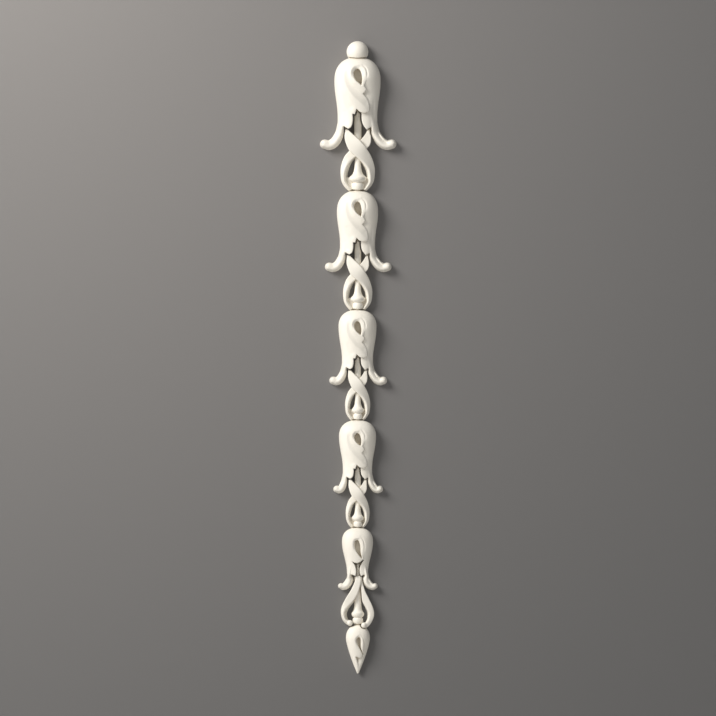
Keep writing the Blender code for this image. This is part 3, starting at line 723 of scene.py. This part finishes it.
def stem(block, link, top, length, axis_depth, marks=STEM_MARKS):
    """The turned stem: a rod that swells into a collar, a neck and a drum."""
    rod_radius = STEM_RADIUS * half_scaled(link.loop / LINKS[0].loop)
    profile = [(rod_radius, STEM_START), (rod_radius, STEM_START + STEM_ROD)]
    profile += [(link.neck + (link.collar - link.neck) * share, z) for share, z in STEM_SWELL]
    profile += [(link.drum * share, z) for share, z in STEM_DRUM]
    radii, heights = zip(*smooth(profile, CURVE_STEPS))
    spread = link.collar + WIDE_MARGIN
    region, x, t, height = window(-spread, spread, top - STEM_END * length, top - STEM_START * length)
    z = (top - height) / length
    rows = z[0, 0]
    rows = np.where(rows > marks[0], np.interp(rows, marks, STEM_MARKS), rows)
    radius = np.interp(rows, heights, radii)[None, None, :]
    depth = t - axis_depth
    depth = np.where(depth < 0, depth / STEM_BACK_STRETCH, depth)
    rod = np.sqrt((x - STEM_SHIFT) ** 2 + depth ** 2) - radius
    rod = np.maximum(rod, np.maximum(z - STEM_END, STEM_START - z) * length)
    add(block, region, rod, SEAM)


def ball(block):
    """The round finial at the top."""
    reach = BALL_RADIUS + MARGIN
    region, x, t, z = window(-reach, reach, TOP_Z - BALL_RADIUS - reach, TOP_Z + WIDE_MARGIN)
    sphere = np.sqrt(x ** 2 + (t - BALL_DEPTH) ** 2 + (z - TOP_Z + BALL_RADIUS) ** 2) - BALL_RADIUS
    add(block, region, sphere, SEAM)


def bead(scroll):
    """The rounded end of a scroll, which stands on a post of its own width."""
    reach = scroll.radius + WIDE_MARGIN
    middle = LYRE_Z - scroll.z
    region, x, t, height = window(scroll.x - reach, scroll.x + reach, middle - reach, middle + reach)
    rise = np.maximum(t - scroll.front + scroll.radius, 0.0)
    across = (x - scroll.x) ** 2 + (LYRE_Z - height - scroll.z) ** 2
    return region, np.sqrt(across + rise ** 2) - scroll.radius


def contact(first, second, size):
    """Distance to a groove in the second form where it touches the first."""
    return np.hypot(first - size, second * size / GROOVE_DEPTH) - size


def web(block, top, width_ratio, length_ratio):
    """The floor of a loop beside the drum."""
    right = [(x * width_ratio, z * length_ratio) for x, z in WEB]
    points = right + [(-x, z) for x, z in reversed(right)]
    spread = max(x for x, z in right) + MARGIN
    region, x, t, height = window(-spread, spread, top - right[-1][1] - MARGIN, top - right[0][1] + MARGIN)
    floor = np.maximum(t - WEB_FRONT * width_ratio, outline_distance(points, x, top - height))
    add(block, region, floor, SEAM)


def add_flowers(block):
    """All flowers with their petal tips, and the bud."""
    last = BELLS[-1]
    for bell in BELLS[:-1]:
        flower(block, bell, BELLS[0], (LEAF, RIGHT_PETAL, EYE), bell.notch + SKIRT)
    flower(block, last, last, (SMALL_LEAF, SMALL_PETAL, SMALL_EYE), last.notch + LAST_SKIRT)
    flower(block, BUD, BUD, (BUD_LEAF, None, BUD_EYE), BUD.length)
    for bell in BELLS:
        for side in (-1, 1):
            flare(block, bell, side)


def add_links(block):
    """The ball, and all links but for the round ends of the scrolls."""
    ball(block)
    for bell, link, below in zip(BELLS, LINKS, BELLS[1:]):
        top = bell.top - bell.notch
        length = top - below.top
        width_ratio = link.loop / LINKS[0].loop
        length_ratio = length / LINK_LENGTH
        stem(block, link, top, length, STEM_DEPTH)
        web(block, top, width_ratio, length_ratio)
        for nodes in (UNDER_RIBBON, OVER_RIBBON):
            ribbon(block, nodes, top, (width_ratio, length_ratio, half_scaled(width_ratio)))
    stem(block, LYRE, LYRE_Z, LYRE_Z - BUD.top, LYRE_STEM_DEPTH, LYRE_MARKS)
    ribbon(block, LYRE_LEFT, LYRE_Z)
    ribbon(block, LYRE_RIGHT, LYRE_Z, tilted=LYRE_RIGHT_TILT)


def strip_block():
    """The whole strip as one block of distances, with grooves where its forms touch."""
    flowers = np.full((len(X_AXIS), len(T_AXIS), len(Z_AXIS)), FAR, np.float32)
    links = flowers.copy()
    add_flowers(flowers)
    add_links(links)
    beads = [bead(scroll) for scroll in SCROLLS]
    back = np.maximum(GROOVE_FLOOR - T_AXIS, 0.0)[None, :, None]
    for region, distance in beads:
        carve(flowers, region, contact(distance, flowers[region], BEAD_GROOVE) + back)
    near_lyre_top = np.abs(Z_AXIS - LYRE_Z + LYRE_TOP) < LYRE_TOP_SPAN
    size = np.where(near_lyre_top, LYRE_GROOVE, GROOVE)[None, None, :]
    whole = blend_max(blend_min(flowers, links, SEAM), -contact(flowers, links, size) - back, SEAM)
    for region, distance in beads:
        add(whole, region, distance, SEAM)
    return np.maximum(whole, -T_AXIS[None, :, None])


# Skin of the block

CORNERS = [(i, j, k) for i in (0, 1) for j in (0, 1) for k in (0, 1)]


def cell_points(block, cells):
    """For each cell, the mean of the places on its edges where the distance changes sign."""
    total = np.zeros((len(cells), 3))
    hits = np.zeros(len(cells))
    for corner in CORNERS:
        for axis in range(3):
            if corner[axis]:
                continue
            other = list(corner)
            other[axis] = 1
            a = block[tuple((cells + corner).T)].astype(float)
            b = block[tuple((cells + other).T)].astype(float)
            cut = (a < 0) != (b < 0)
            point = cells[cut] + np.array(corner, float)
            point[:, axis] += a[cut] / (a[cut] - b[cut])
            total[cut] += point
            hits[cut] += 1
    return total / hits[:, None]


def cell_faces(inside, number):
    """For each step of the block that crosses the skin, a face through the four cells round it."""
    faces = []
    for axis in range(3):
        ahead = [slice(None)] * 3
        behind = [slice(None)] * 3
        ahead[axis] = slice(1, None)
        behind[axis] = slice(None, -1)
        start = inside[tuple(behind)]
        edges = np.argwhere(start != inside[tuple(ahead)])
        leaves = start[tuple(edges.T)]
        u, v = [(1, 2), (2, 0), (0, 1)][axis]
        ring = []
        for du, dv in ((1, 1), (0, 1), (0, 0), (1, 0)):
            cell = edges.copy()
            cell[:, u] -= du
            cell[:, v] -= dv
            ring.append(number[tuple(cell.T)])
        quads = np.stack(ring, 1)
        quads[~leaves] = quads[~leaves][:, ::-1]
        faces.append(quads)
    return np.concatenate(faces)


def skin(block):
    """Points and four-sided faces where the distance changes sign."""
    inside = block < 0
    count = np.zeros(tuple(n - 1 for n in block.shape), np.int8)
    for i, j, k in CORNERS:
        count += inside[i:i + count.shape[0], j:j + count.shape[1], k:k + count.shape[2]]
    cells = np.argwhere((count > 0) & (count < len(CORNERS)))
    number = np.full(count.shape, -1, np.int32)
    number[tuple(cells.T)] = np.arange(len(cells))
    return ORIGIN + cell_points(block, cells) * STEP, cell_faces(inside, number)


def relaxed(points, faces, rounds, share):
    """Move each point part of the way to the mean of its neighbours."""
    ends = np.concatenate([faces[:, [0, 1]], faces[:, [1, 2]], faces[:, [2, 3]], faces[:, [3, 0]]])
    ends = np.concatenate([ends, ends[:, ::-1]])
    valence = np.bincount(ends[:, 0], minlength=len(points))[:, None]
    for _ in range(rounds):
        mean = np.stack([np.bincount(ends[:, 0], weights=points[ends[:, 1], axis], minlength=len(points))
                         for axis in range(3)], 1) / valence
        points = points + share * (mean - points)
    return points


def fullness(block, radius):
    """How much of the space round each point of the block is solid, from 0 to 1."""
    solid = (block < 0).astype(np.float32)
    width = 2 * radius + 1
    for axis in range(3):
        pad = [(0, 0)] * 3
        pad[axis] = (radius + 1, radius)
        total = np.cumsum(np.pad(solid, pad, mode='edge'), axis=axis, dtype=np.float32)
        high = np.take(total, np.arange(width, total.shape[axis]), axis=axis)
        low = np.take(total, np.arange(0, total.shape[axis] - width), axis=axis)
        solid = (high - low) / width
    return solid


def store_painted_shade_mask(mesh, block):
    """Store on each point how enclosed it is, for painted shade that darkens the recesses."""
    solid = fullness(block, round(PAINTED_SHADE_RADIUS / STEP))
    place = np.zeros(len(mesh.vertices) * 3, np.float32)
    mesh.vertices.foreach_get("co", place)
    place = place.reshape(-1, 3) / MM
    place[:, 1] *= -1
    cell = np.rint((place - ORIGIN) / STEP).astype(int)
    cell = np.clip(cell, 0, np.array(block.shape) - 1)
    # Painted shade mask: the more enclosed a point is, the darker it is painted later
    painted_shade_mask = mesh.attributes.new("painted_shade_mask", 'FLOAT', 'POINT')
    painted_shade_mask.data.foreach_set("value", solid[tuple(cell.T)].astype(np.float32))


def carved_strip():
    """The strip as one object, thinned to its number of triangles."""
    block = strip_block()
    points, faces = skin(block)
    points = relaxed(points, faces, RELAX_ROUNDS, RELAX_SHARE)
    mesh = bpy.data.meshes.new("applique_strip_carved")
    corners = np.stack([points[:, 0], -np.maximum(points[:, 1], 0.0), points[:, 2]], 1) * MM
    mesh.from_pydata(corners.tolist(), [], faces.tolist())
    obj = bpy.data.objects.new("applique_strip_carved", mesh)
    bpy.context.scene.collection.objects.link(obj)
    thin = obj.modifiers.new("thin", 'DECIMATE')
    thin.ratio = TRIANGLES / (2 * len(faces))
    thin.use_collapse_triangulate = True
    depsgraph = bpy.context.evaluated_depsgraph_get()
    thinned = bpy.data.meshes.new_from_object(obj.evaluated_get(depsgraph))
    obj.modifiers.clear()
    obj.data = thinned
    thinned.name = "applique_strip_carved"
    thinned.shade_smooth()
    store_painted_shade_mask(thinned, block)
    return obj


# Paint

CREAM = (0.86, 0.83, 0.76, 1.0)
CREAM_WARM = (0.84, 0.80, 0.71, 1.0)
# Darker warm colour painted into recesses as shade
CREAM_PAINTED_SHADE = (0.50, 0.43, 0.33, 1.0)
MOTTLE_SCALE = 45.0
MOTTLE_DETAIL = 4.0
# How enclosed a place is where the painted shade begins, and where it is whole
PAINTED_SHADE_FROM = 0.58
PAINTED_SHADE_TO = 0.92
ROUGH_LOW = 0.52
ROUGH_HIGH = 0.64
GRAIN_SCALE = 1400.0
GRAIN_DETAIL = 3.0
GRAIN_STRENGTH = 0.12
GRAIN_HEIGHT = 0.0002


def new_material(name):
    material = bpy.data.materials.new(name)
    material.use_nodes = True
    return material, material.node_tree, material.node_tree.nodes["Principled BSDF"]


def noise(tree, place, scale, detail):
    node = tree.nodes.new('ShaderNodeTexNoise')
    node.inputs["Scale"].default_value = scale
    node.inputs["Detail"].default_value = detail
    tree.links.new(place, node.inputs["Vector"])
    return node.outputs["Fac"]


def colour_mix(tree, factor, colour):
    """A mix towards the colour, whose other side is still to be set."""
    node = tree.nodes.new('ShaderNodeMix')
    node.data_type = 'RGBA'
    node.inputs["B"].default_value = colour
    tree.links.new(factor, node.inputs["Factor"])
    return node


def paint_material():
    """Matt cream paint: slight mottling, painted shade darkening the recesses, a fine sprayed grain."""
    material, tree, shader = new_material("matt_cream_paint_and_painted_shade")
    place = tree.nodes.new('ShaderNodeTexCoord').outputs["Object"]
    mottle = noise(tree, place, MOTTLE_SCALE, MOTTLE_DETAIL)
    tone = colour_mix(tree, mottle, CREAM_WARM)
    tone.inputs["A"].default_value = CREAM
    # Painted shade: enclosed places are mixed towards the darker shade colour
    painted_shade_mask = tree.nodes.new('ShaderNodeAttribute')
    painted_shade_mask.attribute_name = "painted_shade_mask"
    painted_shade_ramp = tree.nodes.new('ShaderNodeMapRange')
    painted_shade_ramp.inputs["From Min"].default_value = PAINTED_SHADE_FROM
    painted_shade_ramp.inputs["From Max"].default_value = PAINTED_SHADE_TO
    tree.links.new(painted_shade_mask.outputs["Fac"], painted_shade_ramp.inputs["Value"])
    painted_shade_mix = colour_mix(tree, painted_shade_ramp.outputs["Result"], CREAM_PAINTED_SHADE)
    tree.links.new(tone.outputs["Result"], painted_shade_mix.inputs["A"])
    tree.links.new(painted_shade_mix.outputs["Result"], shader.inputs["Base Color"])
    rough = tree.nodes.new('ShaderNodeMapRange')
    rough.inputs["To Min"].default_value = ROUGH_LOW
    rough.inputs["To Max"].default_value = ROUGH_HIGH
    tree.links.new(mottle, rough.inputs["Value"])
    tree.links.new(rough.outputs["Result"], shader.inputs["Roughness"])
    bump = tree.nodes.new('ShaderNodeBump')
    bump.inputs["Strength"].default_value = GRAIN_STRENGTH
    bump.inputs["Distance"].default_value = GRAIN_HEIGHT
    tree.links.new(noise(tree, place, GRAIN_SCALE, GRAIN_DETAIL), bump.inputs["Height"])
    tree.links.new(bump.outputs["Normal"], shader.inputs["Normal"])
    return material


# Studio

# Camera, in metres: the place it looks at, the width that it shows there, and its distance
CENTRE = Vector((0.0005, 0.0, -0.0204))
VIEW_WIDTH = 0.679
CAMERA_DISTANCE = 14.0
SENSOR = 36.0
# Wall: a painted pool of light, its colour running from dark to light round a place on it, and rays that
# are still shorter
# # than the near distance pass through it, so that the flat back is lit
WALL_SIZE = 6.0
WALL_DARK = (0.129, 0.129, 0.13, 1.0)
WALL_PAINTED_LIGHT = (0.32, 0.306, 0.298, 1.0)
WALL_PAINTED_LIGHT_PLACE = (-0.35, 0.45)
WALL_PAINTED_LIGHT_RADIUS = 1.3
WALL_ROUGH = 0.9
WALL_SPECULAR = 0.2
WALL_GAP = 0.0002
WALL_NEAR = 0.001
FLOOR_PALE = (0.72, 0.71, 0.69, 1.0)
FLOOR_ROUGH = 0.8
FLOOR_Z = -0.62
# Lamps, which all point at the middle of the strip
Lamp = namedtuple("Lamp", "name place size energy colour")
LAMPS = (
    Lamp("key", (-2.0, -1.6, 1.6), 1.6, 101.0, (1.0, 0.97, 0.93)),
    Lamp("rear", (0.0, 1.8, 0.4), 1.0, 14.0, (1.0, 1.0, 1.0)),
)
SKY = (1.0, 1.0, 1.0, 1.0)
SKY_STRENGTH = 0.34


def plane(name, size, location, rotation, material):
    bpy.ops.mesh.primitive_plane_add(size=size, location=location, rotation=rotation)
    obj = bpy.context.active_object
    obj.name = name
    obj.data.materials.append(material)
    return obj


def wall_material():
    """Matt wall with a painted pool of light, that shows from its front alone and lets light through from
    behind.
    """
    material, tree, shader = new_material("wall")
    place = tree.nodes.new('ShaderNodeTexCoord')
    move = tree.nodes.new('ShaderNodeMapping')
    move.inputs["Location"].default_value = [-c / WALL_PAINTED_LIGHT_RADIUS for c in (*WALL_PAINTED_LIGHT_PLACE, 0.0)]
    move.inputs["Scale"].default_value = [1 / WALL_PAINTED_LIGHT_RADIUS] * 3
    # Painted pool of light: the wall's colour is lighter round one place and darker away from it
    painted_light_pool = tree.nodes.new('ShaderNodeTexGradient')
    painted_light_pool.gradient_type = 'QUADRATIC_SPHERE'
    tree.links.new(place.outputs["Object"], move.inputs["Vector"])
    tree.links.new(move.outputs["Vector"], painted_light_pool.inputs["Vector"])
    tone = colour_mix(tree, painted_light_pool.outputs["Fac"], WALL_PAINTED_LIGHT)
    tone.inputs["A"].default_value = WALL_DARK
    tree.links.new(tone.outputs["Result"], shader.inputs["Base Color"])
    shader.inputs["Roughness"].default_value = WALL_ROUGH
    shader.inputs["Specular IOR Level"].default_value = WALL_SPECULAR
    clear = tree.nodes.new('ShaderNodeBsdfTransparent')
    facing = tree.nodes.new('ShaderNodeNewGeometry')
    light = tree.nodes.new('ShaderNodeLightPath')
    near = tree.nodes.new('ShaderNodeMath')
    near.operation = 'LESS_THAN'
    near.inputs[1].default_value = WALL_NEAR
    tree.links.new(light.outputs["Ray Length"], near.inputs[0])
    either = tree.nodes.new('ShaderNodeMath')
    either.operation = 'MAXIMUM'
    tree.links.new(facing.outputs["Backfacing"], either.inputs[0])
    tree.links.new(near.outputs["Value"], either.inputs[1])
    choose = tree.nodes.new('ShaderNodeMixShader')
    tree.links.new(either.outputs["Value"], choose.inputs["Fac"])
    tree.links.new(shader.outputs["BSDF"], choose.inputs[1])
    tree.links.new(clear.outputs["BSDF"], choose.inputs[2])
    tree.links.new(choose.outputs["Shader"], tree.nodes["Material Output"].inputs["Surface"])
    return material


def floor_material():
    material, tree, shader = new_material("floor")
    shader.inputs["Base Color"].default_value = FLOOR_PALE
    shader.inputs["Roughness"].default_value = FLOOR_ROUGH
    return material


def area_light(lamp):
    data = bpy.data.lights.new(lamp.name, 'AREA')
    data.shape = 'DISK'
    data.size = lamp.size
    data.energy = lamp.energy
    data.color = lamp.colour
    obj = bpy.data.objects.new(lamp.name, data)
    obj.location = lamp.place
    obj.rotation_euler = (Vector() - Vector(lamp.place)).to_track_quat('-Z', 'Y').to_euler()
    bpy.context.scene.collection.objects.link(obj)


def studio():
    plane("wall", WALL_SIZE, (0.0, WALL_GAP, 0.0), (0.5 * math.pi, 0.0, 0.0), wall_material())
    plane("floor", WALL_SIZE, (0.0, 0.0, FLOOR_Z), (0.0, 0.0, 0.0), floor_material())
    world = bpy.data.worlds.new("studio")
    world.use_nodes = True
    background = world.node_tree.nodes["Background"]
    background.inputs["Color"].default_value = SKY
    background.inputs["Strength"].default_value = SKY_STRENGTH
    bpy.context.scene.world = world
    for lamp in LAMPS:
        area_light(lamp)
    bpy.context.scene.view_settings.view_transform = 'Standard'


def camera():
    data = bpy.data.cameras.new("camera")
    data.sensor_width = SENSOR
    data.lens = SENSOR * CAMERA_DISTANCE / VIEW_WIDTH
    obj = bpy.data.objects.new("camera", data)
    obj.location = CENTRE + Vector((0.0, -CAMERA_DISTANCE, 0.0))
    obj.rotation_euler = (0.5 * math.pi, 0.0, 0.0)
    bpy.context.scene.collection.objects.link(obj)
    bpy.context.scene.camera = obj


camera()
strip = carved_strip()
strip.data.materials.append(paint_material())
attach(strip, "root")
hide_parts("applique_strip")
studio()
